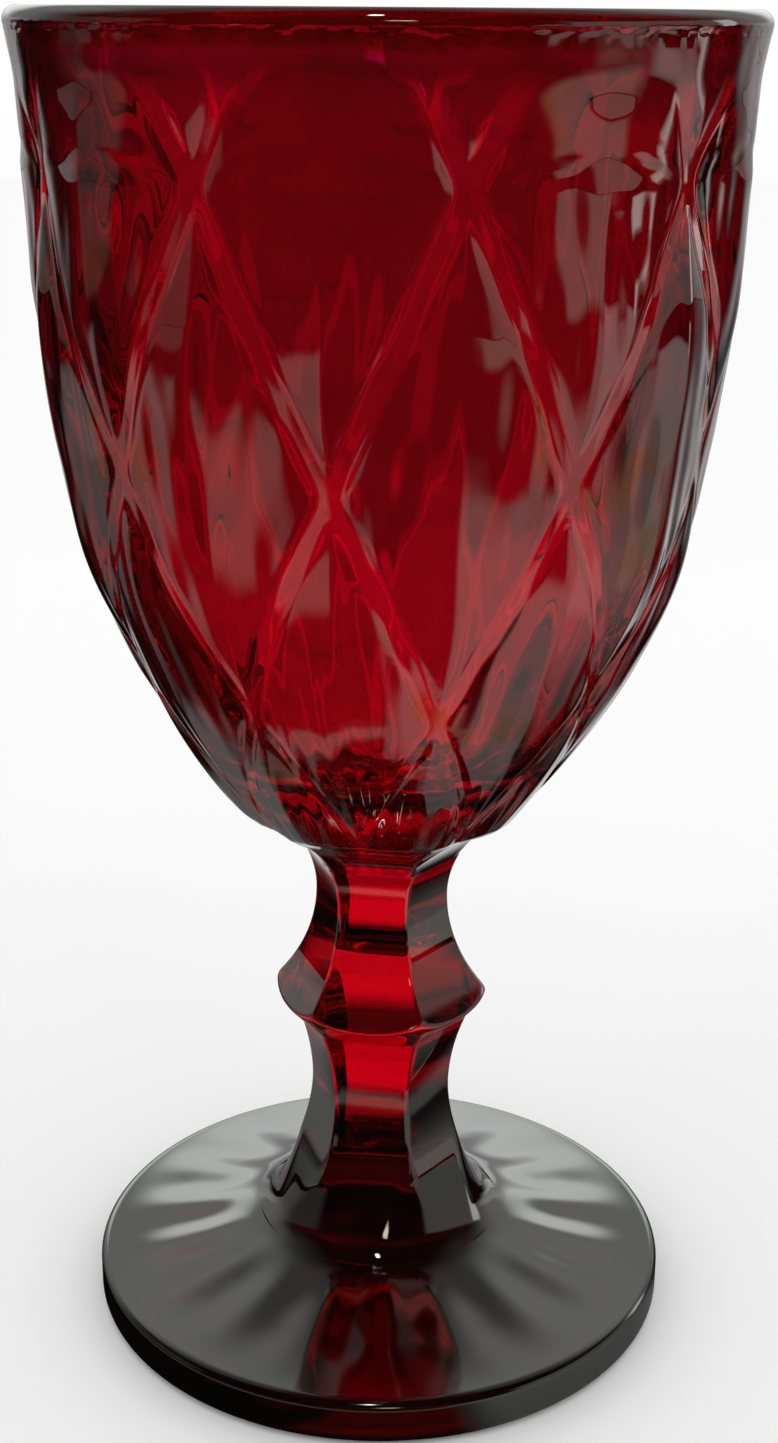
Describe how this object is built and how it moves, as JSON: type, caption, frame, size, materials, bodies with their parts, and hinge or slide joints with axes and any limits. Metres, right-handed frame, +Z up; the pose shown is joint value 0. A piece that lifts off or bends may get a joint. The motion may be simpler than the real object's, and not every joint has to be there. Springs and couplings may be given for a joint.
{
  "type": "goblet",
  "caption": "Stemmed drinking glass in deep red pressed glass: diamond-pillowed bowl, six-sided stem with a knop, and a round fluted foot.",
  "frame": {"origin": "centre of the foot's underside, on the plane it stands on", "axes": "+Z up along the goblet's axis; a flat of the stem and a crossing of the bowl's second row face -Y"},
  "size_m": [0.0856, 0.0856, 0.165],
  "materials": {
    "ruby_glass": "polished"
  },
  "bodies": {
    "root": {"foot": "ruby_glass", "lower_stem": "ruby_glass", "knop": "ruby_glass", "upper_stem": "ruby_glass", "bowl": "ruby_glass"}
  },
  "joints": []
}
